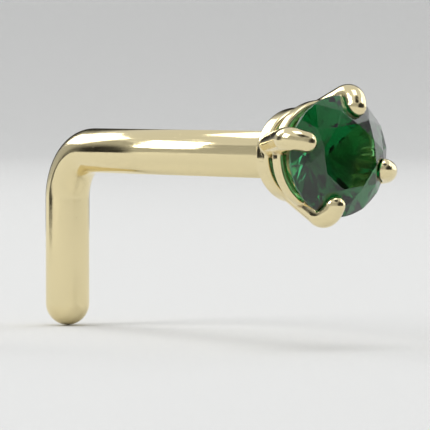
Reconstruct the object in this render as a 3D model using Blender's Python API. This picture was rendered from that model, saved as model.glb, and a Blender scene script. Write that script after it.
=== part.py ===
"""A nose stud: a round brilliant-cut green stone held by four claws, on a bent gold post.

The model is in metres, as the stud is worn: the post lies along Y, the stone faces -Y, and +Z is up.
The origin is on the post's axis, on the flat back of the head, where the post enters the nostril.
Every piece is made in the head's own frame, whose +Z points out of the nostril through the stone and
whose -Y points down, and an empty turns that frame into place.
"""

import math

import bmesh
import bpy
from mathutils import Matrix, Vector

MM = 0.001

# Stone
STONE_DIAMETER = 2.0 * MM
TABLE_DIAMETER = 1.12 * MM
GIRDLE_THICKNESS = 0.06 * MM
CROWN_ANGLE = math.radians(34.5)
PAVILION_ANGLE = math.radians(41)
# The share of the way from the table's edge to the girdle that the star facets take
STAR_REACH = 0.5
# The share of the way from the girdle to the culet that the lower halves take
LOWER_HALF_REACH = 0.78
MAIN_FACETS = 8

# Claws
CLAW_COUNT = 4
CLAW_DIAMETER = 0.42 * MM
CLAW_TIP_DIAMETER = 0.36 * MM
# How far the girdle is let into a straight claw
CLAW_NOTCH = 0.16 * MM
# How high over the girdle a claw turns in, and how tight its bend is on the inside
CLAW_SHOULDER = 0.07 * MM
CLAW_BEND_INSIDE = 0.03 * MM
# How far inside the stone's edge a claw's tip is centred, and how high over the crown
CLAW_REACH = 0.17 * MM
CLAW_TIP_RISE = 0.05 * MM
# How far a claw's foot stands proud of the base's side, and how high it starts over the base's back
FOOT_PROUD = 0.04 * MM
FOOT_RISE = 0.03 * MM
STONE_CLEARANCE = 0.02 * MM

# Base and gallery rail
BASE_DIAMETER = 1.60 * MM
BASE_THICKNESS = 0.34 * MM
BASE_EDGE = 0.07 * MM
DISH_DIAMETER = 0.90 * MM
DISH_DEPTH = 0.10 * MM
CULET_CLEARANCE = 0.10 * MM
RAIL_DROP = 0.50 * MM
RAIL_WIDTH = 0.17 * MM
RAIL_HEIGHT = 0.22 * MM
RAIL_EDGE = 0.04 * MM

# Post, whose leg is bent down inside the nostril
POST_DIAMETER = 0.80 * MM
POST_LENGTH = 6.40 * MM
LEG_LENGTH = 3.20 * MM
BEND_INSIDE = 0.50 * MM
SOLDER_FILLET = 0.08 * MM

# How far the head is turned about the post, seen from the front
HEAD_TURN = math.radians(-15)

# Fineness of the round shapes
GIRDLE_SIDES = 64
POST_SIDES = 36
CLAW_SIDES = 14
RAIL_SIDES = 48
POST_BEND_STEPS = 10
CLAW_BEND_STEPS = 7
END_STEPS = 4
FILLET_STEPS = 4
DISH_STEPS = 3
SMOOTH_ANGLE = math.radians(35)
# Points nearer than this are one point
SAME_POINT = 1e-9

# Radii from the head's axis, and heights over the back of the head, that follow from the sizes above
STONE_RADIUS = STONE_DIAMETER / 2
TABLE_RADIUS = TABLE_DIAMETER / 2
GIRDLE_EDGE = GIRDLE_THICKNESS / 2
CLAW_RADIUS = CLAW_DIAMETER / 2
BASE_RADIUS = BASE_DIAMETER / 2
POST_RADIUS = POST_DIAMETER / 2
CROWN_HEIGHT = (STONE_RADIUS - TABLE_RADIUS) * math.tan(CROWN_ANGLE)
PAVILION_DEPTH = STONE_RADIUS * math.tan(PAVILION_ANGLE)
GIRDLE_HEIGHT = BASE_THICKNESS - DISH_DEPTH + CULET_CLEARANCE + PAVILION_DEPTH + GIRDLE_EDGE


def clear_scene():
    """Removes every object that the scene starts with."""
    for obj in list(bpy.data.objects):
        bpy.data.objects.remove(obj)


def material(name, colour, roughness, metallic, ior):
    """A Principled material of one colour."""
    made = bpy.data.materials.new(name)
    made.use_nodes = True
    made.diffuse_color = (*colour, 1)
    inputs = made.node_tree.nodes["Principled BSDF"].inputs
    inputs["Base Color"].default_value = (*colour, 1)
    inputs["Roughness"].default_value = roughness
    inputs["Metallic"].default_value = metallic
    inputs["IOR"].default_value = ior
    return made


def object_from(bm, name, frame, turn=0.0, height=0.0):
    """Makes an object of a bmesh, in the head's frame, turned about its axis and raised along it."""
    bmesh.ops.recalc_face_normals(bm, faces=bm.faces)
    mesh = bpy.data.meshes.new(name)
    bm.to_mesh(mesh)
    bm.free()
    obj = bpy.data.objects.new(name, mesh)
    bpy.context.scene.collection.objects.link(obj)
    obj.parent = frame
    obj.location = (0, 0, height)
    obj.rotation_euler = (0, 0, turn)
    return obj


def combine(target, operation, other):
    """Joins another object to the target, or cuts it out of the target, and hides that other object."""
    other.hide_render = True
    other.display_type = "WIRE"
    modifier = target.modifiers.new(f"{operation.lower()}_{other.name}", "BOOLEAN")
    modifier.operation = operation
    modifier.solver = "EXACT"
    modifier.object = other


def shade_round(obj):
    """Shades an object smooth, apart from its sharp edges."""
    obj.data.shade_smooth()
    obj.data.set_sharp_from_angle(angle=SMOOTH_ANGLE)


def cut_facet(bm, azimuth, inner, outer, margin):
    """Cuts one facet, as a gem cutter does, and closes the mesh again.

    The facet faces the azimuth and passes through two points, each a distance from the stone's axis
    and a height over the middle of the girdle. The margin moves it outwards.
    """
    outwards = Vector((math.cos(azimuth), math.sin(azimuth), 0))
    up = Vector((0, 0, math.copysign(1, inner[1])))
    normal = (outwards * abs(inner[1] - outer[1]) + up * (outer[0] - inner[0])).normalized()
    point = outwards * outer[0] + Vector((0, 0, outer[1])) + normal * margin
    whole = [*bm.verts, *bm.edges, *bm.faces]
    bmesh.ops.bisect_plane(
        bm, geom=whole, dist=SAME_POINT, plane_co=point, plane_no=normal, clear_outer=True
    )
    bmesh.ops.holes_fill(bm, edges=[edge for edge in bm.edges if edge.is_boundary])


def cut_ring(bm, count, first, inner, outer, margin):
    """Cuts the same facet all round the stone, the first one at an azimuth."""
    for facet in range(count):
        cut_facet(bm, first + facet * math.tau / count, inner, outer, margin)


def cut_side(bm, slope, end_radius, meet_radius, side, margin):
    """Cuts the mains, and the halves between them, of the crown (side 1) or the pavilion (side -1).

    The mains rise with the slope from the girdle to the end radius. Two mains and two halves meet
    in a point at the meet radius, whose height is returned.
    """
    step = math.tau / MAIN_FACETS
    end = (end_radius, side * (GIRDLE_EDGE + (STONE_RADIUS - end_radius) * slope))
    cut_ring(bm, MAIN_FACETS, 0, end, (STONE_RADIUS, side * GIRDLE_EDGE), margin)
    meet_height = GIRDLE_EDGE + (STONE_RADIUS - meet_radius * math.cos(step / 2)) * slope
    share = math.cos(step / 4)
    meet = (meet_radius * share, side * meet_height)
    outer = (STONE_RADIUS * share, side * GIRDLE_EDGE)
    cut_ring(bm, 2 * MAIN_FACETS, step / 4, meet, outer, margin)
    return meet_height


def brilliant(margin):
    """A round brilliant cut out of a cylinder, about the middle of its girdle.

    With a margin each of its faces lies that much further out, which is the shape of its seat.
    """
    bm = bmesh.new()
    bmesh.ops.create_cone(
        bm,
        cap_ends=True,
        segments=GIRDLE_SIDES,
        radius1=STONE_RADIUS + margin,
        radius2=STONE_RADIUS + margin,
        depth=2 * STONE_DIAMETER,
        matrix=Matrix.Rotation(math.pi / GIRDLE_SIDES, 4, "Z"),
    )
    step = math.tau / MAIN_FACETS
    table_height = GIRDLE_EDGE + CROWN_HEIGHT
    table_inside = TABLE_RADIUS * math.cos(step / 2)
    star_radius = table_inside + STAR_REACH * (STONE_RADIUS - table_inside)
    star_height = cut_side(bm, math.tan(CROWN_ANGLE), TABLE_RADIUS, star_radius, 1, margin)
    cut_ring(bm, MAIN_FACETS, step / 2, (table_inside, table_height), (star_radius, star_height), margin)
    cut_facet(bm, 0, (0, table_height), (STONE_RADIUS, table_height), margin)
    halves_radius = STONE_RADIUS * (1 - LOWER_HALF_REACH)
    cut_side(bm, math.tan(PAVILION_ANGLE), 0, halves_radius, -1, margin)
    return bm


def half_ball(centre, direction, radius, end):
    """Rows that close a bar with a half ball, at its last end (end 1) or its first (end -1)."""
    rows = []
    for step in range(1, END_STEPS):
        angle = step * math.pi / 2 / END_STEPS
        middle = centre + direction * (end * radius * math.sin(angle))
        rows.append((middle, direction, radius * math.cos(angle)))
    rows.append((centre + direction * (end * radius), direction, 0))
    return rows[::end]


def bend(corner, before, after, radius, steps):
    """Points and directions along the arc that rounds the corner between two straight runs."""
    turn = before.angle(after)
    inwards = (after - before * after.dot(before)).normalized()
    start = corner - before * (radius * math.tan(turn / 2))
    arc = []
    for step in range(steps + 1):
        angle = turn * step / steps
        point = start + before * (radius * math.sin(angle)) + inwards * (radius * (1 - math.cos(angle)))
        arc.append((point, before * math.cos(angle) + inwards * math.sin(angle)))
    return arc


def bar(bm, rows, across, sides):
    """Adds a closed bar that is round about a path, through rows of (centre, direction, radius).

    The path lies in the plane whose normal is across. A row with no radius is a single point.
    """
    last = None
    for centre, direction, radius in rows:
        other = across.cross(direction)
        ring = []
        for side in range(sides if radius else 1):
            angle = side * math.tau / sides
            ring.append(bm.verts.new(centre + (across * math.cos(angle) + other * math.sin(angle)) * radius))
        if last:
            join_rings(bm, last, ring)
        last = ring


def join_rings(bm, first, second):
    """Closes the gap between two rings of points, one of which may be a single point."""
    sides = max(len(first), len(second))
    for side in range(sides):
        after = (side + 1) % sides
        corners = [first[side % len(first)], first[after % len(first)]]
        corners += [second[after % len(second)], second[side % len(second)]]
        bm.faces.new(dict.fromkeys(corners))


def claw_line():
    """The foot of a claw, its shoulder and the middle of its tip, in the plane of X and Z."""
    foot = Vector((BASE_RADIUS + FOOT_PROUD - CLAW_RADIUS, 0, FOOT_RISE + CLAW_RADIUS))
    beside_girdle = Vector((STONE_RADIUS + CLAW_RADIUS - CLAW_NOTCH, 0, GIRDLE_HEIGHT))
    rise = (GIRDLE_HEIGHT + CLAW_SHOULDER - foot.z) / (beside_girdle.z - foot.z)
    shoulder = foot.lerp(beside_girdle, rise)
    crown_there = GIRDLE_HEIGHT + GIRDLE_EDGE + CLAW_REACH * math.tan(CROWN_ANGLE)
    tip = Vector((STONE_RADIUS - CLAW_REACH, 0, crown_there + CLAW_TIP_RISE))
    return foot, shoulder, tip


def claw_rows():
    """Rows of one claw: a round foot, a straight wire, and a thinning bend over the stone to a round tip."""
    foot, shoulder, tip = claw_line()
    upwards = (shoulder - foot).normalized()
    inwards = (tip - shoulder).normalized()
    arc = bend(shoulder, upwards, inwards, CLAW_RADIUS + CLAW_BEND_INSIDE, CLAW_BEND_STEPS)
    rows = [*half_ball(foot, upwards, CLAW_RADIUS, -1), (foot, upwards, CLAW_RADIUS)]
    for step, (point, direction) in enumerate(arc):
        thinned = CLAW_RADIUS + (CLAW_TIP_DIAMETER / 2 - CLAW_RADIUS) * step / CLAW_BEND_STEPS
        rows.append((point, direction, thinned))
    rows.append((tip, inwards, CLAW_TIP_DIAMETER / 2))
    return rows + half_ball(tip, inwards, CLAW_TIP_DIAMETER / 2, 1)


def claws(frame):
    """The claws, evenly spaced round the head."""
    bm = bmesh.new()
    for claw in range(CLAW_COUNT):
        turn = Matrix.Rotation(claw * math.tau / CLAW_COUNT, 3, "Z")
        rows = [(turn @ centre, turn @ direction, radius) for centre, direction, radius in claw_rows()]
        bar(bm, rows, turn @ Vector((0, 1, 0)), CLAW_SIDES)
    return object_from(bm, "claws", frame, HEAD_TURN)


def gallery_rail(frame):
    """The rail that ties the claws together halfway up: a band with its four edges taken off."""
    foot, shoulder, _ = claw_line()
    height = GIRDLE_HEIGHT - RAIL_DROP
    middle = foot.lerp(shoulder, (height - foot.z) / (shoulder.z - foot.z))
    bm = bmesh.new()
    corners = []
    for x_side, z_side in ((1, 1), (-1, 1), (-1, -1), (1, -1)):
        corner = middle + Vector((x_side * RAIL_WIDTH, 0, z_side * RAIL_HEIGHT)) / 2
        corners.append(bm.verts.new(corner))
    for side in range(len(corners)):
        bm.edges.new((corners[side - 1], corners[side]))
    bmesh.ops.bevel(bm, geom=corners, offset=RAIL_EDGE, segments=1, affect="VERTICES")
    outline = [*bm.verts, *bm.edges]
    bmesh.ops.spin(
        bm, geom=outline, cent=(0, 0, 0), axis=(0, 0, 1), angle=math.tau, steps=RAIL_SIDES, use_merge=True
    )
    return object_from(bm, "gallery_rail", frame, HEAD_TURN)


def base_rows():
    """Rows of the base from the middle of its dish, over its rim, to the solder round the post."""
    inwards = Vector((0, 0, -1))
    dish = DISH_DIAMETER / 2
    outline = [(0, BASE_THICKNESS - DISH_DEPTH)]
    for step in range(1, DISH_STEPS + 1):
        share = step / DISH_STEPS
        outline.append((dish * share, BASE_THICKNESS - DISH_DEPTH * (1 - share**2)))
    outline.append((BASE_RADIUS - BASE_EDGE, BASE_THICKNESS))
    outline.append((BASE_RADIUS, BASE_THICKNESS - BASE_EDGE))
    outline.append((BASE_RADIUS, BASE_EDGE))
    outline.append((BASE_RADIUS - BASE_EDGE, 0))
    for step in range(FILLET_STEPS + 1):
        angle = step * math.pi / 2 / FILLET_STEPS
        out = SOLDER_FILLET * (1 - math.sin(angle))
        outline.append((POST_RADIUS + out, SOLDER_FILLET * (math.cos(angle) - 1)))
    return [(Vector((0, 0, height)), inwards, radius) for radius, height in outline]


def base_and_post(frame, name):
    """The turned base and the post behind it, whose leg is bent down and rounded at its end."""
    inwards = Vector((0, 0, -1))
    down = Vector((0, -1, 0))
    corner = inwards * (POST_LENGTH + POST_RADIUS)
    end = corner + down * (LEG_LENGTH - POST_RADIUS)
    rows = base_rows()
    for point, direction in bend(corner, inwards, down, POST_RADIUS + BEND_INSIDE, POST_BEND_STEPS):
        rows.append((point, direction, POST_RADIUS))
    rows.append((end, down, POST_RADIUS))
    rows += half_ball(end, down, POST_RADIUS, 1)
    bm = bmesh.new()
    bar(bm, rows, Vector((1, 0, 0)), POST_SIDES)
    return object_from(bm, name, frame)


def claw_setting(frame):
    """The metal, soldered into one: base, post, rail and claws, with the stone's seat cut into them."""
    setting = base_and_post(frame, "claw_setting")
    combine(setting, "UNION", gallery_rail(frame))
    combine(setting, "UNION", claws(frame))
    seat = object_from(brilliant(STONE_CLEARANCE), "stone_seat", frame, HEAD_TURN, GIRDLE_HEIGHT)
    combine(setting, "DIFFERENCE", seat)
    setting.data.materials.append(material("yellow_gold", (0.82, 0.66, 0.36), 0.18, 1, 1.5))
    shade_round(setting)


def stone(frame):
    """The stone, in its own seat."""
    gem = object_from(brilliant(0), "stone", frame, HEAD_TURN, GIRDLE_HEIGHT)
    gem.data.materials.append(material("green_stone", (0.01, 0.16, 0.06), 0.03, 0, 1.76))


def main():
    """Clears the scene and makes the stud, turned so that it faces -Y with the post's leg down."""
    clear_scene()
    frame = bpy.data.objects.new("stud", None)
    frame.rotation_euler = (math.pi / 2, 0, 0)
    bpy.context.scene.collection.objects.link(frame)
    claw_setting(frame)
    stone(frame)


main()
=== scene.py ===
"""The finished look of a claw-set nose stud: a gold basket on a bent post, and the green stone it holds.

Meshes are made in millimetres in the head's own frame, whose +Z points out through the stone and whose
-Y points down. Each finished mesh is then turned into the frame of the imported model, which is in metres
and has the stone facing -Y and the post's leg hanging along -Z.
"""

import logging
import math
from collections.abc import Iterable, Sequence
from dataclasses import dataclass, field
from enum import Enum

import bmesh
import bpy
import numpy as np
from mathutils import Matrix, Vector


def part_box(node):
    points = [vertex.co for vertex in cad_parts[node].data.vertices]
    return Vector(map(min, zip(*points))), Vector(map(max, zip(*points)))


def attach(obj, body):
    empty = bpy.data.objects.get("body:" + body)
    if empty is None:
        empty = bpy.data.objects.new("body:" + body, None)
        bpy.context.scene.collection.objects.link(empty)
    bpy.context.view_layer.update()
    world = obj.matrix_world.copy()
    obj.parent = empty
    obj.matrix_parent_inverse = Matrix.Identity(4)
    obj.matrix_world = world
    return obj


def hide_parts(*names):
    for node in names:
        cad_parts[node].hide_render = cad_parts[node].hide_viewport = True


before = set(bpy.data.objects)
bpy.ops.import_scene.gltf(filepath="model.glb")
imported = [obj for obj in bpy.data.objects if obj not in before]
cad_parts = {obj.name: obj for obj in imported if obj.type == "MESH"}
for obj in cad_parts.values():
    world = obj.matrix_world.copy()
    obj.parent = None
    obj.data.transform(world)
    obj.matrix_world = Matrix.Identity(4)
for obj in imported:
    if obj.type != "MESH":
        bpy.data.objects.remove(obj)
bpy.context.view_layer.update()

MM = 0.001
HEAD_TO_ROW = Matrix.Rotation(math.pi / 2, 4, "X") @ Matrix.Scale(MM, 4)
ROW_TO_HEAD = HEAD_TO_ROW.inverted()
BODY = "root"

# Points that lie nearer to each other than this, in mm, are one point.
TOUCHING = 1e-4

Colour = tuple[float, float, float]
Point = tuple[float, float]
log = logging.getLogger("nose_stud")


class Slot(Enum):
    """The record's material slots."""

    GOLD = "yellow_gold"
    STONE = "green_stone"


class Node(Enum):
    """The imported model's nodes."""

    SETTING = "claw_setting"
    STONE = "stone"


class Grain(Enum):
    """What the marks on a piece of metal follow: the solid, or the run of a drawn wire."""

    SOLID = "solid"
    WIRE = "wire_space"


class Signal:
    """An output of a node. Arithmetic on it adds Math nodes to its tree."""

    def __init__(self, graph: "Graph", socket: bpy.types.NodeSocket) -> None:
        """Wraps one socket.

        Args:
            graph: The graph that the socket's node is in.
            socket: The node's output.
        """
        self.graph = graph
        self.socket = socket

    def math(self, operation: str, *values: "Signal | float") -> "Signal":
        """Adds a Math node.

        Args:
            operation: The Math node's operation.
            values: Its inputs, in order.

        Returns:
            The node's result.
        """
        return self.graph.add("ShaderNodeMath", {"operation": operation}, dict(enumerate(values)))

    def __add__(self, other: "Signal | float") -> "Signal":
        """Adds a value to this one."""
        return self.math("ADD", self, other)

    def __radd__(self, other: float) -> "Signal":
        """Adds this to a number."""
        return self.math("ADD", other, self)

    def __sub__(self, other: "Signal | float") -> "Signal":
        """Takes a value from this one."""
        return self.math("SUBTRACT", self, other)

    def __rsub__(self, other: float) -> "Signal":
        """Takes this from a number."""
        return self.math("SUBTRACT", other, self)

    def __mul__(self, other: "Signal | float") -> "Signal":
        """Multiplies this by a value."""
        return self.math("MULTIPLY", self, other)

    def __rmul__(self, other: float) -> "Signal":
        """Multiplies a number by this."""
        return self.math("MULTIPLY", other, self)

    def __truediv__(self, other: "Signal | float") -> "Signal":
        """Divides this by a value."""
        return self.math("DIVIDE", self, other)

    def __rtruediv__(self, other: float) -> "Signal":
        """Divides a number by this."""
        return self.math("DIVIDE", other, self)

    def between(self, low: float, high: float) -> "Signal":
        """Eases from 0 to 1 as this goes from one number to another.

        Args:
            low: The value that gives 0.
            high: The value that gives 1, which may be the lower of the two.

        Returns:
            The eased value, never outside 0 to 1.
        """
        inputs = {"Value": self, "From Min": low, "From Max": high}
        return self.graph.add("ShaderNodeMapRange", {"interpolation_type": "SMOOTHSTEP"}, inputs)


class Graph:
    """A node tree, with the one method that makes its nodes."""

    def __init__(self, tree: bpy.types.NodeTree) -> None:
        """Wraps a tree.

        Args:
            tree: A material's, a world's or a modifier's node tree.
        """
        self.tree = tree

    def add(
        self, kind: str, settings: dict | None = None, inputs: dict | None = None, output: int | str = 0
    ) -> Signal:
        """Makes a node.

        Args:
            kind: The node's type.
            settings: Its own properties, which are set first.
            inputs: Values or signals for its sockets, by name or number.
            output: The output to return.

        Returns:
            That output.
        """
        node = self.tree.nodes.new(kind)
        for name, value in (settings or {}).items():
            setattr(node, name, value)
        self.feed(node, inputs or {})
        return Signal(self, node.outputs[output])

    def feed(self, node: bpy.types.Node, inputs: dict) -> None:
        """Gives a node's sockets their values.

        Args:
            node: The node.
            inputs: Values or signals, by the socket's name or number.
        """
        for name, value in inputs.items():
            if isinstance(value, Signal):
                self.tree.links.new(value.socket, node.inputs[name])
            else:
                node.inputs[name].default_value = value

    def blend(self, share: Signal | float, first: Signal | Colour, second: Signal | Colour) -> Signal:
        """Mixes two colours.

        Args:
            share: How much of the second colour there is.
            first: A colour.
            second: Another colour.

        Returns:
            The mixed colour.
        """
        ends = [end if isinstance(end, Signal) else (*end, 1.0) for end in (first, second)]
        return self.add("ShaderNodeMix", {"data_type": "RGBA"}, {0: share, 6: ends[0], 7: ends[1]}, 2)

    def stretched(self, vector: Signal, scale: Iterable[float]) -> Signal:
        """Stretches a vector.

        Args:
            vector: The vector.
            scale: What its three parts are multiplied by.

        Returns:
            The stretched vector.
        """
        return self.add("ShaderNodeVectorMath", {"operation": "MULTIPLY"}, {0: vector, 1: tuple(scale)})

    def noise(self, place: Signal, scale: float, detail: float) -> Signal:
        """Adds soft noise.

        Args:
            place: Coordinates.
            scale: How many waves there are in a unit.
            detail: How many finer waves lie on them.

        Returns:
            A value about 0.5.
        """
        return self.add("ShaderNodeTexNoise", {}, {"Vector": place, "Scale": scale, "Detail": detail})

    def attribute(self, name: str, output: str = "Fac") -> Signal:
        """Reads an attribute of the mesh.

        Args:
            name: The attribute's name.
            output: The output to return, which is Vector for a place.

        Returns:
            The attribute.
        """
        return self.add("ShaderNodeAttribute", {"attribute_name": name}, output=output)


def new_material(name: str) -> tuple[bpy.types.Material, Graph, bpy.types.Node]:
    """Makes an empty material.

    Args:
        name: Its name.

    Returns:
        The material, its graph, and its shader node.
    """
    made = bpy.data.materials.new(name)
    made.use_nodes = True
    return made, Graph(made.node_tree), made.node_tree.nodes["Principled BSDF"]


@dataclass(frozen=True)
class GoldFinish:
    """Pale yellow gold, as it is finished on one kind of piece.

    Attributes:
        name: The material's name.
        grain: What its marks follow.
        colour: Its polished colour.
        film_and_shade: Its colour where polish residue and skin oil stay behind, and the painted shade that
            darkens its corners and the basket's inside.
        roughness: Its roughness where the polishing wheel reaches.
        dull: How much rougher it is in a corner.
        wave: The depth of the slow waves that hand polishing leaves, in mm.
        ripple: The depth of the finest waves, in mm.
        scratch: The depth of its scratches, in mm.
        pit: The depth of its casting pits, in mm.
        clouds_per_mm: How many clouds there are in the residue, the painted shade and the roughness.
        waves_per_mm: How many slow waves there are.
        ripples_per_mm: How many of the finest waves there are.
        pits_per_mm: How many pits there may be.
    """

    name: str
    grain: Grain = Grain.SOLID
    colour: Colour = (0.85, 0.735, 0.44)
    film_and_shade: Colour = (0.36, 0.25, 0.11)
    roughness: float = 0.10
    dull: float = 0.28
    wave: float = 0.010
    ripple: float = 0.0005
    scratch: float = 0.0006
    pit: float = 0.002
    clouds_per_mm: float = 3.1
    waves_per_mm: float = 1.7
    ripples_per_mm: float = 26.0
    pits_per_mm: float = 4.0

    def material(self) -> bpy.types.Material:
        """Makes the material.

        Returns:
            A metal with waves, scratches and pits, darkened in its corners by polish residue and by painted
            shade.
        """
        made, graph, shader = new_material(self.name)
        place = self.place(graph)
        cloud = graph.noise(place, self.clouds_per_mm, 4)
        # Painted shade: the mask darkens the base colour towards brown in creases, inside the basket and on
        # the dish, where shade falls; it also stands for polish residue there.
        film_and_shade = (graph.attribute("shade_and_film_mask") * 0.9 + (cloud - 0.5) * 0.35).between(0.12, 0.85)
        scratches = self.scratches(graph, place)
        cells = graph.add("ShaderNodeTexVoronoi", {}, {"Vector": place, "Scale": self.pits_per_mm})
        pits = cells.between(0.05, 0.02)
        waves = graph.noise(place, self.waves_per_mm, 1.5) * self.wave
        ripples = graph.noise(place, self.ripples_per_mm, 3) * self.ripple
        height = waves + ripples - scratches * self.scratch - pits * self.pit
        rough = self.roughness + film_and_shade * self.dull + (cloud - 0.5) * 0.06 + scratches * 0.08 + pits * 0.1
        graph.feed(
            shader,
            {
                "Base Color": graph.blend(film_and_shade * 0.8, self.colour, self.film_and_shade),
                "Metallic": 1.0,
                "Roughness": rough,
                "Normal": graph.add("ShaderNodeBump", {}, {"Height": height, "Distance": MM}),
            },
        )
        return made

    def place(self, graph: Graph) -> Signal:
        """Gives the coordinates that the marks follow, in mm.

        Args:
            graph: The material's graph.

        Returns:
            A place in the solid, or along and round the wire.
        """
        if self.grain is Grain.WIRE:
            return graph.attribute(self.grain.value, "Vector")
        return graph.stretched(graph.add("ShaderNodeTexCoord", output="Object"), (1 / MM,) * 3)

    def scratches(self, graph: Graph, place: Signal) -> Signal:
        """Adds fine scratches: along a drawn wire, or in two directions across a solid.

        Args:
            graph: The material's graph.
            place: Coordinates in mm.

        Returns:
            1 in a scratch and 0 beside it.
        """
        if self.grain is Grain.WIRE:
            return graph.noise(graph.stretched(place, (38.0, 38.0, 0.7)), 1.0, 2).between(0.56, 0.72)
        found = []
        for turn, scale in ((0.6, (3.0, 52.0, 3.0)), (-0.9, (44.0, 3.0, 4.0))):
            turned = graph.add("ShaderNodeMapping", {}, {"Vector": place, "Rotation": (turn, 0.4, turn / 2)})
            found.append(graph.noise(graph.stretched(turned, scale), 1.0, 1).between(0.66, 0.76))
        return found[0].math("MAXIMUM", *found)


@dataclass(frozen=True)
class StoneFinish:
    """Deep green, clear stone with polished facets and a ground girdle.

    Attributes:
        name: The material's name.
        ior: How strongly it bends light.
        pale: The lighter of the two tints that its faces let through.
        deep: The deeper one.
        through: The colour that light keeps along its way inside.
        density: How fast the rest is taken, for each metre.
        ground_roughness: The roughness of the ground girdle.
        worn_roughness: The roughness where its facets have rubbed on cloth and skin.
        zones_per_mm: How many zones of one tint there are.
        rubs_per_mm: How many rubbed patches there are.
    """

    name: str
    ior: float = 1.70
    pale: Colour = (0.78, 1.0, 0.87)
    deep: Colour = (0.54, 0.92, 0.70)
    through: Colour = (0.0, 0.63, 0.38)
    density: float = 2200.0
    ground_roughness: float = 0.4
    worn_roughness: float = 0.012
    zones_per_mm: float = 0.9
    rubs_per_mm: float = 6.0

    def material(self) -> bpy.types.Material:
        """Makes the material.

        Returns:
            A clear stone that takes red and blue out of what passes through it.
        """
        made, graph, shader = new_material(self.name)
        solid = graph.add("ShaderNodeTexCoord", output="Object")
        zones = graph.noise(solid, self.zones_per_mm / MM, 2).between(0.35, 0.65)
        worn = graph.noise(solid, self.rubs_per_mm / MM, 3).between(0.45, 0.8)
        graph.feed(
            shader,
            {
                "Base Color": graph.blend(zones, self.pale, self.deep),
                "Roughness": graph.attribute("ground") * self.ground_roughness + worn * self.worn_roughness,
                "IOR": self.ior,
                "Transmission Weight": 1.0,
            },
        )
        inputs = {"Color": (*self.through, 1), "Density": self.density}
        inside = graph.add("ShaderNodeVolumeAbsorption", {}, inputs)
        graph.feed(made.node_tree.nodes["Material Output"], {"Volume": inside})
        return made


@dataclass(frozen=True)
class Station:
    """A place on a wire's middle line.

    Attributes:
        place: Where it is, in mm in the head's frame.
        radius: The wire's radius there, in mm.
    """

    place: Vector
    radius: float


def half_ball(centre: Vector, outwards: Vector, radius: float, steps: int) -> list[Station]:
    """Works out the stations of a rounded wire end.

    Args:
        centre: The middle of the ball.
        outwards: The direction that the wire ends in.
        radius: The ball's radius.
        steps: How many stations the quarter round takes.

    Returns:
        The stations after the ball's middle, out to its pole.
    """
    found = []
    for step in range(1, steps + 1):
        angle = step * math.pi / 2 / steps
        across = radius * math.cos(angle) if step < steps else 0.0
        found.append(Station(centre + outwards * (radius * math.sin(angle)), across))
    return found


def round_corner(before: Vector, corner: Vector, after: Vector, radius: float, steps: int) -> list[Vector]:
    """Rounds the corner between two straight runs of wire.

    Args:
        before: A point on the first run.
        corner: Where the two runs would meet.
        after: A point on the second run.
        radius: The bend's radius on the wire's middle line.
        steps: How many equal turns the bend takes.

    Returns:
        The points of the bend, both ends among them.
    """
    first, second = (corner - before).normalized(), (after - corner).normalized()
    turn = first.angle(second)
    inwards = (second - first * second.dot(first)).normalized()
    start = corner - first * (radius * math.tan(turn / 2))
    found = []
    for step in range(steps + 1):
        angle = turn * step / steps
        found.append(start + first * (radius * math.sin(angle)) + inwards * (radius * (1 - math.cos(angle))))
    return found


def quarter(centre: Point, radius: float, start: float, steps: int) -> list[Point]:
    """Works out a quarter circle of an outline, clockwise.

    Args:
        centre: Its centre.
        radius: Its radius.
        start: The angle that it starts at, in degrees.
        steps: How many equal turns it takes.

    Returns:
        Its points, both ends among them.
    """
    angles = [math.radians(start - 90 * step / steps) for step in range(steps + 1)]
    return [(centre[0] + radius * math.cos(angle), centre[1] + radius * math.sin(angle)) for angle in angles]


def link(name: str, data: bpy.types.ID) -> bpy.types.Object:
    """Puts a mesh, a lamp or a camera in the scene.

    Args:
        name: The new object's name.
        data: The mesh, the lamp or the camera.

    Returns:
        The object.
    """
    made = bpy.data.objects.new(name, data)
    bpy.context.scene.collection.objects.link(made)
    return made


def taken(obj: bpy.types.Object) -> bpy.types.Mesh:
    """Turns an object with live modifiers into a plain mesh, and removes the object.

    Args:
        obj: The object.

    Returns:
        Its mesh with the modifiers applied.
    """
    graph = bpy.context.evaluated_depsgraph_get()
    mesh = bpy.data.meshes.new_from_object(obj.evaluated_get(graph), depsgraph=graph)
    bpy.data.objects.remove(obj)
    return mesh


def as_mesh(name: str, shape: bmesh.types.BMesh) -> bpy.types.Mesh:
    """Makes a mesh of a bmesh, and frees the bmesh.

    Args:
        name: The mesh's name.
        shape: The bmesh.

    Returns:
        The mesh.
    """
    mesh = bpy.data.meshes.new(name)
    shape.to_mesh(mesh)
    shape.free()
    return mesh


def turned(name: str, outline: Sequence[Point], spokes: int) -> bpy.types.Mesh:
    """Turns an outline about the Z axis, as on a lathe.

    Args:
        name: The mesh's name.
        outline: Distances from the axis, with their heights, from the top down.
        spokes: How many steps the turn takes.

    Returns:
        The mesh, closed where the outline starts or ends on the axis.
    """
    shape = bmesh.new()
    points = [shape.verts.new((across, 0, height)) for across, height in outline]
    for first, second in zip(points, points[1:]):
        shape.edges.new((first, second))
    everything = [*shape.verts, *shape.edges]
    bmesh.ops.spin(
        shape, geom=everything, cent=(0, 0, 0), axis=(0, 0, 1), angle=math.tau, steps=spokes, use_merge=True
    )
    bmesh.ops.remove_doubles(shape, verts=shape.verts, dist=TOUCHING)
    bmesh.ops.recalc_face_normals(shape, faces=shape.faces)
    return as_mesh(name, shape)


def finish_piece(name: str, mesh: bpy.types.Mesh, node: Node) -> bpy.types.Object:
    """Turns a mesh from the head's frame into the row's, and makes it a piece of the stud.

    Args:
        name: The piece's name.
        mesh: The mesh, in mm.
        node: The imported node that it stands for.

    Returns:
        The piece.
    """
    mesh.transform(HEAD_TO_ROW)
    mesh.name = name
    piece = link(name, mesh)
    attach(piece, BODY)
    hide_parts(node.value)
    return piece


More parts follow.
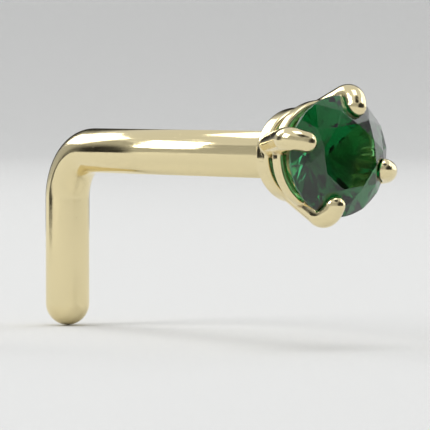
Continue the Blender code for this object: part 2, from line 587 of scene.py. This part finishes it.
class ShapeTree:
    """Geometry nodes with named inputs, which end in Realize Instances and Set Material."""

    name = "shape"
    kinds: dict[str, str] = {}

    def __init__(self) -> None:
        """Builds the tree, with an input for each entry of kinds and one for the material."""
        self.tree = bpy.data.node_groups.new(self.name, "GeometryNodeTree")
        face = self.tree.interface
        face.new_socket("Guide", in_out="INPUT", socket_type="NodeSocketGeometry")
        self.inputs = {}
        for name, kind in {**self.kinds, "Material": "Material"}.items():
            self.inputs[name] = face.new_socket(name, in_out="INPUT", socket_type=f"NodeSocket{kind}")
        face.new_socket("Shape", in_out="OUTPUT", socket_type="NodeSocketGeometry")
        graph = Graph(self.tree)
        given = self.tree.nodes.new("NodeGroupInput")
        values = {socket.name: Signal(graph, socket) for socket in given.outputs if socket.name}
        real = graph.add("GeometryNodeRealizeInstances", {}, {"Geometry": self.draw(graph, values)})
        placed = graph.add("GeometryNodeSetMaterial", {}, {"Geometry": real, "Material": values["Material"]})
        result = self.tree.nodes.new("NodeGroupOutput")
        self.tree.links.new(placed.socket, result.inputs[0])

    def draw(self, graph: Graph, values: dict[str, Signal]) -> Signal:
        """Draws the shape.

        Args:
            graph: The tree's graph.
            values: The tree's inputs.

        Returns:
            The shape's geometry.
        """
        raise NotImplementedError

    def run(self, guide: bpy.types.Mesh, **values: object) -> bpy.types.Mesh:
        """Draws the shape for one guide.

        Args:
            guide: The mesh that the shape follows.
            values: The tree's inputs, with _ for a space in a name.

        Returns:
            The shape's plain mesh, smoothly shaded.
        """
        holder = link(self.name, guide)
        nodes = holder.modifiers.new(self.name, "NODES")
        nodes.node_group = self.tree
        for name, value in values.items():
            nodes[self.inputs[name.replace("_", " ")].identifier] = value
        made = taken(holder)
        made.shade_smooth()
        return made


class RoundWire(ShapeTree):
    """A round wire along a line of stations, repeated about the head's axis."""

    name = "round_wire"
    kinds = {"Sides": "Int", "Copies": "Int", "First Turn": "Float", "Lean": "Float", "Seed": "Int"}

    def draw(self, graph: Graph, values: dict[str, Signal]) -> Signal:
        """Draws one wire, stores where each point would lie if it were straight, and repeats it.

        Args:
            graph: The tree's graph.
            values: The tree's inputs.

        Returns:
            The wires, as instances.
        """
        thick = self.read(graph, "thickness", "FLOAT")
        line = graph.add("GeometryNodeMeshToCurve", {}, {"Mesh": values["Guide"]})
        length = graph.add("GeometryNodeSplineParameter", output="Length")
        line = self.store(graph, line, "along", "FLOAT", length)
        inputs = {"Resolution": values["Sides"], "Radius": 1.0}
        ring = graph.add("GeometryNodeCurvePrimitiveCircle", {}, inputs)
        ring = self.store(graph, ring, "around", "FLOAT_VECTOR", graph.add("GeometryNodeInputPosition"))
        inputs = {"Curve": line, "Profile Curve": ring, "Scale": thick}
        wire = graph.add("GeometryNodeCurveToMesh", {}, inputs)
        around = self.read(graph, "around", "FLOAT_VECTOR")
        wide = graph.add("ShaderNodeVectorMath", {"operation": "SCALE"}, {0: around, "Scale": thick})
        long = graph.add("ShaderNodeCombineXYZ", {}, {"Z": self.read(graph, "along", "FLOAT")})
        straight = graph.add("ShaderNodeVectorMath", {"operation": "ADD"}, {0: wide, 1: long})
        wire = self.store(graph, wire, Grain.WIRE.value, "FLOAT_VECTOR", straight)
        closed = graph.add("GeometryNodeMergeByDistance", {}, {"Geometry": wire, "Distance": TOUCHING})
        return self.repeat(graph, closed, values)

    def read(self, graph: Graph, name: str, kind: str) -> Signal:
        """Reads a named attribute.

        Args:
            graph: The tree's graph.
            name: The attribute's name.
            kind: Its data type.

        Returns:
            The attribute.
        """
        return graph.add("GeometryNodeInputNamedAttribute", {"data_type": kind}, {"Name": name})

    def store(self, graph: Graph, geometry: Signal, name: str, kind: str, value: Signal) -> Signal:
        """Stores a named attribute on each point.

        Args:
            graph: The tree's graph.
            geometry: The geometry to store it on.
            name: The attribute's name.
            kind: Its data type.
            value: Its value.

        Returns:
            The geometry with the attribute.
        """
        settings = {"data_type": kind, "domain": "POINT"}
        inputs = {"Geometry": geometry, "Name": name, "Value": value}
        return graph.add("GeometryNodeStoreNamedAttribute", settings, inputs)

    def repeat(self, graph: Graph, wire: Signal, values: dict[str, Signal]) -> Signal:
        """Repeats a wire evenly about the head's axis, each copy a little out of true.

        Args:
            graph: The tree's graph.
            wire: One wire.
            values: The tree's inputs.

        Returns:
            The copies, as instances.
        """
        inputs = {"Count": values["Copies"], "Offset": (0.0, 0.0, 0.0)}
        places = graph.add("GeometryNodeMeshLine", {}, inputs)
        angle = graph.add("GeometryNodeInputIndex") * (math.tau / values["Copies"]) + values["First Turn"]
        turn = graph.add("ShaderNodeCombineXYZ", {}, {"Z": angle})
        inputs = {0: values["Lean"] * -1.0, 1: values["Lean"], "Seed": values["Seed"]}
        chance = graph.add("FunctionNodeRandomValue", {"data_type": "FLOAT_VECTOR"}, inputs)
        angles = graph.add("ShaderNodeVectorMath", {"operation": "ADD"}, {0: turn, 1: chance})
        rotation = graph.add("FunctionNodeEulerToRotation", {}, {"Euler": angles})
        inputs = {"Points": places, "Instance": wire, "Rotation": rotation}
        return graph.add("GeometryNodeInstanceOnPoints", {}, inputs)

    def follow(self, stations: Sequence[Station], **values: object) -> bpy.types.Mesh:
        """Draws wires through stations.

        Args:
            stations: The wire's stations, from end to end.
            values: The tree's inputs, with _ for a space in a name.

        Returns:
            The wires' plain mesh.
        """
        guide = bpy.data.meshes.new("stations")
        steps = [(step, step + 1) for step in range(len(stations) - 1)]
        guide.from_pydata([station.place for station in stations], steps, [])
        thickness = guide.attributes.new("thickness", "FLOAT", "POINT")
        thickness.data.foreach_set("value", [station.radius for station in stations])
        return self.run(guide, **values)


class RoundBand(ShapeTree):
    """A band with a rounded section, swept round a circle."""

    name = "round_band"
    kinds = {"Radius": "Float", "Width": "Float", "Height": "Float", "Edge": "Float", "Sides": "Int"}

    def draw(self, graph: Graph, values: dict[str, Signal]) -> Signal:
        """Draws the band.

        Args:
            graph: The tree's graph.
            values: The tree's inputs.

        Returns:
            Its closed mesh.
        """
        inputs = {"Resolution": values["Sides"], "Radius": values["Radius"]}
        circle = graph.add("GeometryNodeCurvePrimitiveCircle", {}, inputs)
        inputs = {"Width": values["Width"], "Height": values["Height"]}
        section = graph.add("GeometryNodeCurvePrimitiveQuadrilateral", {}, inputs)
        inputs = {"Curve": section, "Count": 5, "Radius": values["Edge"]}
        section = graph.add("GeometryNodeFilletCurve", {"mode": "POLY"}, inputs)
        return graph.add("GeometryNodeCurveToMesh", {}, {"Curve": circle, "Profile Curve": section})


@dataclass
class CutStone:
    """The round brilliant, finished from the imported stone.

    Attributes:
        crown_angle: The slope of the crown's main facets, in radians.
        edge_polish: How much of each facet edge polishing takes away, in mm.
        same_facet: How far two faces of one facet may be turned from each other, in radians.
        girdle_slack: How far inside the widest point the girdle's corners may lie, in mm.
        steepest_ground: How far a facet's normal may rise from level and still be the girdle's.
        finish: Its material.
    """

    crown_angle: float = math.radians(34.5)
    edge_polish: float = 0.006
    same_facet: float = math.radians(0.4)
    girdle_slack: float = 0.001
    steepest_ground: float = 0.05
    finish: StoneFinish = field(default_factory=lambda: StoneFinish("green_stone"))

    def facets(self) -> bmesh.types.BMesh:
        """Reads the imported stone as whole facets.

        Returns:
            Its mesh in mm in the head's frame.
        """
        solid = bmesh.new()
        solid.from_mesh(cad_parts[Node.STONE.value].data)
        bmesh.ops.transform(solid, matrix=ROW_TO_HEAD, verts=solid.verts)
        bmesh.ops.remove_doubles(solid, verts=solid.verts, dist=TOUCHING)
        bmesh.ops.dissolve_limit(
            solid, angle_limit=self.same_facet, verts=solid.verts, edges=solid.edges, delimit=set()
        )
        bmesh.ops.recalc_face_normals(solid, faces=solid.faces)
        return solid

    def measure(self) -> tuple[float, float, float]:
        """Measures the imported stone.

        Returns:
            Its radius, and the heights of the upper and lower edge of its girdle, in mm.
        """
        solid = self.facets()
        reach = {vert.co.z: vert.co.xy.length for vert in solid.verts}
        solid.free()
        radius = max(reach.values())
        heights = [height for height, across in reach.items() if across > radius - self.girdle_slack]
        return radius, max(heights), min(heights)

    def seat(self, clearance: float) -> bpy.types.Object:
        """Makes the tool that cuts the stone's seat.

        Args:
            clearance: The gap that the seat keeps to the stone, in mm.

        Returns:
            The stone's shape, grown about the middle of its girdle.
        """
        radius, upper, lower = self.measure()
        middle = Matrix.Translation((0, 0, (upper + lower) / 2))
        grown = middle @ Matrix.Scale(1 + clearance / radius, 4) @ middle.inverted()
        solid = self.facets()
        bmesh.ops.transform(solid, matrix=grown, verts=solid.verts)
        return link("seat", as_mesh("seat", solid))

    def build(self) -> bpy.types.Object:
        """Makes the stone, with its facet edges lightly polished off and its girdle marked as ground.

        Returns:
            The piece.
        """
        solid = self.facets()
        bmesh.ops.bevel(
            solid, geom=solid.edges, offset=self.edge_polish, segments=2, profile=0.5, affect="EDGES"
        )
        ground = [float(abs(facet.normal.z) < self.steepest_ground) for facet in solid.faces]
        mesh = as_mesh("cut_stone", solid)
        mesh.attributes.new("ground", "FLOAT", "FACE").data.foreach_set("value", ground)
        mesh.shade_flat()
        mesh.materials.append(self.finish.material())
        return finish_piece("cut_stone", mesh, Node.STONE)


@dataclass(frozen=True)
class ShadedRecesses:
    """Where the basket is out of a polishing wheel's reach and where shade falls, so that polish residue
    stays behind and shade is painted into the gold's colour.

    Attributes:
        corner: How sharply a corner is hollow, in 1/mm, where the wheel misses it.
        rounds: How many times a point's hollow is evened out with those about it.
        share: How much of those it takes each time.
        inwards: How far a face looks inwards where the inside starts, from 0 to 1.
        depth: How far under the girdle the inside is fully out of reach, in mm.
        inside: How much residue and painted shade the inside has.
        level: How level a face of the dish is, from 0 to 1.
        rim: How far over the base a face may lie and still be the dish's, in mm.
        dish: How much residue and painted shade the dish has.
    """

    corner: float = 5.0
    rounds: int = 20
    share: float = 0.6
    inwards: float = 0.2
    depth: float = 0.3
    inside: float = 0.6
    level: float = 0.6
    rim: float = 0.05
    dish: float = 0.5

    def mark(self, mesh: bpy.types.Mesh, girdle: float, base: float) -> None:
        """Stores how far each point is out of the wheel's reach and in shade, from 0 to 1, as the mask of
        residue and painted shade.

        Args:
            mesh: The basket's mesh, in mm.
            girdle: The height of the girdle's lower edge.
            base: The base's thickness.
        """
        count = len(mesh.vertices)
        places, normals, ends = np.empty(count * 3), np.empty(count * 3), np.empty(len(mesh.edges) * 2, int)
        mesh.vertices.foreach_get("co", places)
        mesh.vertices.foreach_get("normal", normals)
        mesh.edges.foreach_get("vertices", ends)
        places, normals = places.reshape(-1, 3), normals.reshape(-1, 3)
        first, second = ends.reshape(-1, 2).T
        degree = np.bincount(ends, minlength=count)
        step = places[second] - places[first]
        hollow = -((normals[second] - normals[first]) * step).sum(1) / (step**2).sum(1)
        deep = (np.bincount(first, hollow, count) + np.bincount(second, hollow, count)) / degree
        for _ in range(self.rounds):
            shared = np.bincount(first, deep[second], count) + np.bincount(second, deep[first], count)
            deep = (1 - self.share) * deep + self.share * shared / degree
        across, height = places[:, :2], places[:, 2]
        outwards = across / np.maximum(np.linalg.norm(across, axis=1), TOUCHING)[:, None]
        inside = np.clip(-(outwards * normals[:, :2]).sum(1) - self.inwards, 0, 1)
        under = np.clip((girdle - height) / self.depth, 0, 1)
        dish = np.clip((normals[:, 2] - self.level) / (1 - self.level), 0, 1) * (height < base + self.rim)
        # Painted shade: creases, the basket's inside and the dish get a mask that darkens the gold as shade
        # would, besides marking polish residue.
        value = np.clip(deep / self.corner, 0, 1) + inside * under * self.inside + dish * self.dish
        shade_and_film_mask = mesh.attributes.new("shade_and_film_mask", "FLOAT", "POINT")
        shade_and_film_mask.data.foreach_set("value", np.clip(value, 0, 1).astype(np.float32))


@dataclass
class ClawBasket:
    """The basket: a turned base, a gallery rail, and claws bent over the stone. Lengths are in mm.

    Attributes:
        stone: The stone that it holds.
        wire: What draws its claws.
        finish: Its material.
        claw_count: How many claws there are.
        claw_diameter: The diameter of a claw's wire.
        tip_diameter: The diameter of its round tip.
        notch: How far the girdle is let into a straight claw.
        shoulder: How high over the middle of the girdle a claw turns in.
        bend_inside: The radius inside its bend.
        reach: How far inside the stone's edge its tip is centred.
        tip_rise: How high over the crown its tip is centred.
        foot_proud: How far a claw's foot stands out from the base.
        foot_rise: How high its foot starts over the base's back.
        lean: How far a claw may be out of true, in radians.
        seed: The seed of that lean.
        base_diameter: The base's diameter.
        base_thickness: The base's thickness.
        base_edge: The rounding of the base's edges.
        dish_diameter: The diameter of the dish under the stone.
        dish_depth: The depth of that dish.
        rail_drop: How far the rail's middle lies under the middle of the girdle.
        rail_width: The rail's thickness.
        rail_height: The rail's height.
        rail_edge: The rounding of the rail's edges.
        turn: How far the head is turned, in radians.
        clearance: The gap between a claw and the stone.
        skin: The size of the cells that the parts are melted together in.
        smoothing: How many times the melted skin is smoothed.
        shaded_recesses: Where polishing doesn't reach and where shade is painted into the gold.
        sides: How many sides a claw's wire is drawn with.
        bend_steps: How many steps its bend takes.
        ball_steps: How many steps its foot and its tip each take.
        spokes: How many steps the base's turn takes.
        rail_sides: How many steps the rail's turn takes.
    """

    stone: CutStone
    wire: RoundWire
    finish: GoldFinish = field(default_factory=lambda: GoldFinish("basket_gold"))
    claw_count: int = 4
    claw_diameter: float = 0.42
    tip_diameter: float = 0.36
    notch: float = 0.16
    shoulder: float = 0.07
    bend_inside: float = 0.03
    reach: float = 0.17
    tip_rise: float = 0.05
    foot_proud: float = 0.04
    foot_rise: float = 0.03
    lean: float = math.radians(0.8)
    seed: int = 7
    base_diameter: float = 1.60
    base_thickness: float = 0.34
    base_edge: float = 0.07
    dish_diameter: float = 0.90
    dish_depth: float = 0.10
    rail_drop: float = 0.50
    rail_width: float = 0.17
    rail_height: float = 0.22
    rail_edge: float = 0.05
    turn: float = math.radians(-15)
    clearance: float = 0.016
    skin: float = 0.0155
    smoothing: int = 6
    shaded_recesses: ShadedRecesses = ShadedRecesses()
    sides: int = 40
    bend_steps: int = 18
    ball_steps: int = 9
    spokes: int = 96
    rail_sides: int = 128

    def claw_line(self) -> tuple[Vector, Vector, Vector]:
        """Works out the straight runs of a claw's middle line.

        Returns:
            Its foot, the corner at its shoulder, and the middle of its tip.
        """
        radius, upper, lower = self.stone.measure()
        wire = self.claw_diameter / 2
        middle = (upper + lower) / 2
        foot = Vector((self.base_diameter / 2 + self.foot_proud - wire, 0, self.foot_rise + wire))
        beside = Vector((radius + wire - self.notch, 0, middle))
        shoulder = foot.lerp(beside, (middle + self.shoulder - foot.z) / (middle - foot.z))
        crown = upper + self.reach * math.tan(self.stone.crown_angle)
        return foot, shoulder, Vector((radius - self.reach, 0, crown + self.tip_rise))

    def claws(self) -> bpy.types.Mesh:
        """Draws the claws, each with a round foot and a tip that thins over the stone.

        Returns:
            Their mesh, with the stone's seat cut into them.
        """
        foot, shoulder, tip = self.claw_line()
        wire, point = self.claw_diameter / 2, self.tip_diameter / 2
        bend = round_corner(foot, shoulder, tip, wire + self.bend_inside, self.bend_steps)
        upwards, inwards = (shoulder - foot).normalized(), (tip - shoulder).normalized()
        stations = [*half_ball(foot, -upwards, wire, self.ball_steps)[::-1], Station(foot, wire)]
        for step, place in enumerate(bend):
            stations.append(Station(place, wire + (point - wire) * step / (len(bend) - 1)))
        stations += [Station(tip, point), *half_ball(tip, inwards, point, self.ball_steps)]
        mesh = self.wire.follow(
            stations,
            Sides=self.sides, Copies=self.claw_count, First_Turn=self.turn, Lean=self.lean, Seed=self.seed,
        )
        claws = link("claws", mesh)
        seat = self.stone.seat(self.clearance)
        cut = claws.modifiers.new("seat", "BOOLEAN")
        cut.operation = "DIFFERENCE"
        cut.solver = "EXACT"
        cut.object = seat
        made = taken(claws)
        bpy.data.objects.remove(seat)
        return made

    def rail(self) -> bpy.types.Mesh:
        """Makes the gallery rail, which runs through the middle of each claw.

        Returns:
            Its mesh.
        """
        foot, shoulder, _ = self.claw_line()
        _, upper, lower = self.stone.measure()
        height = (upper + lower) / 2 - self.rail_drop
        middle = foot.lerp(shoulder, (height - foot.z) / (shoulder.z - foot.z))
        mesh = RoundBand().run(
            bpy.data.meshes.new("rail"),
            Radius=middle.x, Width=self.rail_width, Height=self.rail_height, Edge=self.rail_edge,
            Sides=self.rail_sides,
        )
        mesh.transform(Matrix.Translation((0, 0, height)))
        return mesh

    def base(self) -> bpy.types.Mesh:
        """Turns the base: a disc with a shallow dish, rounded edges and a flat back.

        Returns:
            Its mesh.
        """
        dish, edge, top = self.dish_diameter / 2, self.base_edge, self.base_thickness
        inset = self.base_diameter / 2 - edge
        shares = [step / 8 for step in range(9)]
        outline = [(dish * share, top - self.dish_depth * (1 - share**2)) for share in shares]
        outline += quarter((inset, top - edge), edge, 90, 6)
        outline += quarter((inset, edge), edge, 0, 6)
        return turned("base", [*outline, (0.0, 0.0)], self.spokes)

    def melt(self, parts: Iterable[bpy.types.Mesh]) -> bpy.types.Mesh:
        """Melts overlapping parts into one skin, with a small fillet wherever two meet.

        Args:
            parts: Closed meshes.

        Returns:
            One closed mesh.
        """
        whole = bmesh.new()
        for part in parts:
            whole.from_mesh(part)
        holder = link("parts", as_mesh("parts", whole))
        skin = holder.modifiers.new("skin", "REMESH")
        skin.mode = "VOXEL"
        skin.voxel_size = self.skin
        soft = holder.modifiers.new("soft", "SMOOTH")
        soft.factor = 0.5
        soft.iterations = self.smoothing
        made = taken(holder)
        made.shade_smooth()
        return made

    def build(self) -> bpy.types.Object:
        """Makes the basket.

        Returns:
            The piece.
        """
        mesh = self.melt([self.claws(), self.rail(), self.base()])
        # Painted shade: marks creases and the basket's inside, where the gold's colour is darkened.
        self.shaded_recesses.mark(mesh, self.stone.measure()[2], self.base_thickness)
        mesh.materials.clear()
        mesh.materials.append(self.finish.material())
        return finish_piece("claw_basket", mesh, Node.SETTING)


@dataclass
class BentPost:
    """The post: one round wire out of the base's back, bent down at its end. Lengths are in mm.

    Attributes:
        wire: What draws it.
        diameter: The wire's diameter.
        bend_inside: The radius inside its bend.
        start: How deep in the base it starts.
        cap: How far the middle of that hidden end stands out.
        sides: How many sides it is drawn with.
        bend_steps: How many steps its bend takes.
        ball_steps: How many steps its tip takes.
        finish: Its material.
    """

    wire: RoundWire
    diameter: float = 0.80
    bend_inside: float = 0.50
    start: float = 0.15
    cap: float = 0.01
    sides: int = 64
    bend_steps: int = 40
    ball_steps: int = 16
    finish: GoldFinish = field(
        default_factory=lambda: GoldFinish("post_gold", Grain.WIRE, wave=0.004, scratch=0.0004)
    )

    def build(self) -> bpy.types.Object:
        """Makes the post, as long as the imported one.

        Returns:
            The piece.
        """
        radius = self.diameter / 2
        low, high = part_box(Node.SETTING.value)
        reach, leg = high.y / MM - radius, -low.z / MM - radius
        start, corner, end = Vector((0, 0, self.start)), Vector((0, 0, -reach)), Vector((0, -leg, -reach))
        bend = round_corner(start, corner, end, radius + self.bend_inside, self.bend_steps)
        stations = [Station(start + Vector((0, 0, self.cap)), 0.0)]
        stations += [Station(place, radius) for place in (start, *bend, end)]
        stations += half_ball(end, Vector((0, -1, 0)), radius, self.ball_steps)
        mesh = self.wire.follow(
            stations,
            Sides=self.sides, Copies=1, First_Turn=0.0, Lean=0.0, Seed=0, Material=self.finish.material(),
        )
        return finish_piece("bent_post", mesh, Node.SETTING)


@dataclass
class SolderSeam:
    """The uneven, hollow ring of solder round the post's root. Lengths are in mm.

    Attributes:
        post: The post that it joins to the base.
        size: The radius of its hollow.
        buried: How far it goes into the base and the post.
        uneven: How its size changes round the post: waves in a turn, their share of it, their start.
        spokes: How many sections it is drawn with.
        arc_steps: How many steps the hollow of a section takes.
        finish: Its material.
    """

    post: BentPost
    size: float = 0.09
    buried: float = 0.03
    uneven: tuple[tuple[int, float, float], ...] = ((2, 0.10, 0.7), (5, 0.07, 2.1), (9, 0.04, 0.0))
    spokes: int = 144
    arc_steps: int = 12
    finish: GoldFinish = field(
        default_factory=lambda: GoldFinish("solder", colour=(0.84, 0.74, 0.50), roughness=0.22)
    )

    def section(self, size: float) -> list[Point]:
        """Works out the seam's section.

        Args:
            size: The radius of its hollow there.

        Returns:
            Distances from the post's middle, with their heights over the base's back.
        """
        wall = self.post.diameter / 2
        arc = quarter((0, -size), size, 90, self.arc_steps)
        arc = [(wall + size - across, height) for across, height in arc]
        inner = [(wall - self.buried, self.buried), (wall - self.buried, -size)]
        return [*inner, *arc[::-1], (arc[0][0], self.buried)]

    def build(self) -> bpy.types.Object:
        """Makes the seam.

        Returns:
            The piece.
        """
        shape = bmesh.new()
        rings = []
        for spoke in range(self.spokes):
            angle = math.tau * spoke / self.spokes
            uneven = sum(share * math.sin(waves * angle + start) for waves, share, start in self.uneven)
            spin = Matrix.Rotation(angle, 3, "Z")
            section = self.section(self.size * (1 + uneven))
            rings.append([shape.verts.new(spin @ Vector((reach, 0, height))) for reach, height in section])
        for first, second in zip(rings, rings[1:] + rings[:1]):
            for low, high in zip(range(len(first)), [*range(1, len(first)), 0]):
                shape.faces.new((first[low], second[low], second[high], first[high]))
        bmesh.ops.recalc_face_normals(shape, faces=shape.faces)
        mesh = as_mesh("solder_seam", shape)
        mesh.shade_smooth()
        mesh.materials.append(self.finish.material())
        return finish_piece("solder_seam", mesh, Node.SETTING)


@dataclass(frozen=True)
class Stand:
    """A place for something that looks at the stud.

    Attributes:
        name: The name of what stands there.
        azimuth: Where it stands, in degrees to the right of the camera.
        elevation: How high it stands, in degrees.
        distance: How far off it is, in mm.
    """

    name: str
    azimuth: float
    elevation: float
    distance: float


@dataclass(frozen=True)
class Lamp(Stand):
    """A soft square lamp.

    Attributes:
        size: Its side, in mm.
        power: Its power, in watts.
    """

    size: float
    power: float


@dataclass(frozen=True)
class Card(Stand):
    """A dark card with soft edges that only the metal and the stone see.

    Attributes:
        wide: Its width, in mm.
        tall: Its height, in mm.
        cut: Where its lower edge is cut off, from -1 for nowhere to 0 for halfway up.
    """

    wide: float
    tall: float
    cut: float = -1.0


@dataclass
class Studio:
    """A pale seamless floor, soft lamps, dark cards and the camera. Lengths are in mm.

    Attributes:
        azimuth: The camera's angle round the stud, in degrees.
        elevation: The camera's height, in degrees.
        lens: The camera's focal length.
        view_width: The width of what the camera sees at the stud.
        aim: The middle of the view, across and up from the head's back.
        floor_gap: How far the floor lies under the post's leg.
        floor_radius: The radius of the floor's flat part.
        sweep: The radius of its upward curve.
        wall: How high its wall goes over that curve.
        pale: The floor's colour.
        dark: The colour of the cards.
        fade: Where a card starts to fade, from 0 in its middle to 1 at its edge.
        room: The colour of the light that fills the room.
        room_strength: The strength of that light.
        lamps: Its lamps.
        cards: Its dark cards.
    """

    azimuth: float = -36.0
    elevation: float = 2.0
    lens: float = 300.0
    view_width: float = 7.2
    aim: tuple[float, float] = (-1.3, -1.0)
    floor_gap: float = 0.01
    floor_radius: float = 170.0
    sweep: float = 187.0
    wall: float = 68.0
    pale: Colour = (0.66, 0.66, 0.65)
    dark: Colour = (0.02, 0.02, 0.02)
    fade: float = 0.4
    room: Colour = (0.97, 0.98, 1.0)
    room_strength: float = 0.75
    lamps: tuple[Lamp, ...] = (
        Lamp("key", -72, 32, 187, 95, 0.145),
        Lamp("fill", 92, 30, 204, 68, 0.035),
        Lamp("top", 10, 84, 187, 85, 0.058),
        Lamp("right_rim", 130, 22, 204, 160, 0.095),
        Lamp("left_rim", -130, 32, 204, 102, 0.098),
    )
    cards: tuple[Card, ...] = (
        Card("front_card", 62, 8, 14, 24, 20, -0.22),
        Card("ceiling_card", 24, 52, 60, 54, 44),
        Card("left_card", -104, 0, 44, 30, 44),
        Card("back_card", 184, 12, 46, 60, 50),
    )

    def place(self, obj: bpy.types.Object, stand: Stand) -> None:
        """Moves an object off the stud, to face the middle of the view.

        Args:
            obj: The object, which looks along its own -Z.
            stand: Where it stands.
        """
        facing = math.radians(self.azimuth)
        turn, rise = facing + math.radians(stand.azimuth), math.radians(stand.elevation)
        across = Vector((math.cos(facing), math.sin(facing), 0))
        middle = across * self.aim[0] + Vector((0, 0, self.aim[1]))
        level = math.cos(rise)
        outwards = Vector((math.sin(turn) * level, -math.cos(turn) * level, math.sin(rise)))
        obj.location = (middle + outwards * stand.distance) * MM
        obj.rotation_euler = outwards.to_track_quat("Z", "Y").to_euler()

    def add_camera(self) -> None:
        """Makes the camera, at the photograph's angle and far enough off for a flat view."""
        data = bpy.data.cameras.new("camera")
        data.lens = self.lens
        distance = self.view_width * self.lens / data.sensor_width
        data.clip_start = distance * MM / 10
        data.clip_end = distance * MM * 20
        camera = link("camera", data)
        self.place(camera, Stand(camera.name, 0, self.elevation, distance))
        bpy.context.scene.camera = camera

    def add_lamps(self) -> None:
        """Makes the lamps."""
        for lamp in self.lamps:
            data = bpy.data.lights.new(lamp.name, "AREA")
            data.size = lamp.size * MM
            data.energy = lamp.power
            light = link(lamp.name, data)
            self.place(light, lamp)
            light.visible_camera = False

    def add_cards(self) -> None:
        """Makes the dark cards, which no camera sees and which cast no shadow."""
        made, graph, shader = new_material("dark_card")
        spot = graph.attribute("spread", "Vector")
        reach = graph.add("ShaderNodeVectorMath", {"operation": "LENGTH"}, {0: spot}, "Value")
        inputs = {"Base Color": (*self.dark, 1), "Roughness": 1.0, "Alpha": reach.between(1.0, self.fade)}
        graph.feed(shader, inputs)
        for card in self.cards:
            corners = ((-1, card.cut), (1, card.cut), (1, 1), (-1, 1))
            places = [(across * card.wide * MM / 2, up * card.tall * MM / 2, 0) for across, up in corners]
            mesh = bpy.data.meshes.new(card.name)
            mesh.from_pydata(places, [], [(0, 1, 2, 3)])
            spread = mesh.uv_layers.new(name="spread")
            for loop, corner in zip(spread.data, corners):
                loop.uv = corner
            mesh.materials.append(made)
            placed = link(card.name, mesh)
            self.place(placed, card)
            placed.visible_camera = placed.visible_diffuse = placed.visible_shadow = False

    def add_floor(self) -> None:
        """Makes the pale floor, which curves up into a wall all round."""
        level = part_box(Node.SETTING.value)[0].z / MM - self.floor_gap
        edge, rise = self.floor_radius + self.sweep, level + self.sweep
        curve = quarter((self.floor_radius, rise), self.sweep, 0, 24)
        mesh = turned("floor", [(edge, rise + self.wall), *curve, (0.0, level)], 96)
        mesh.transform(Matrix.Scale(MM, 4))
        mesh.flip_normals()
        mesh.shade_smooth()
        made, graph, shader = new_material("pale_floor")
        graph.feed(shader, {"Base Color": (*self.pale, 1), "Roughness": 1.0, "Specular IOR Level": 0.0})
        mesh.materials.append(made)
        link("floor", mesh)

    def set_light(self) -> None:
        """Sets the soft light of the room, and how the picture is worked out."""
        scene = bpy.context.scene
        scene.world = bpy.data.worlds.new("room")
        scene.world.use_nodes = True
        tree = scene.world.node_tree
        Graph(tree).feed(tree.nodes["Background"], {"Color": (*self.room, 1), "Strength": self.room_strength})
        scene.view_settings.view_transform = "Standard"
        scene.cycles.use_denoising = True
        scene.cycles.denoiser = "OPENIMAGEDENOISE"
        scene.cycles.denoising_input_passes = "RGB"
        scene.cycles.max_bounces = 24
        scene.cycles.transmission_bounces = 20
        scene.cycles.glossy_bounces = 10

    def build(self) -> None:
        """Sets the whole studio up."""
        self.add_floor()
        self.add_cards()
        self.add_lamps()
        self.add_camera()
        self.set_light()


def main() -> None:
    """Builds the stud and its studio, and logs how many faces each piece has."""
    logging.basicConfig(level=logging.INFO, format="%(message)s")
    wire = RoundWire()
    stone = CutStone()
    post = BentPost(wire)
    for part in (stone, ClawBasket(stone, wire), post, SolderSeam(post)):
        piece = part.build()
        log.info("%s has %d faces", piece.name, len(piece.data.polygons))
    Studio().build()


if __name__ == "__main__":
    main()
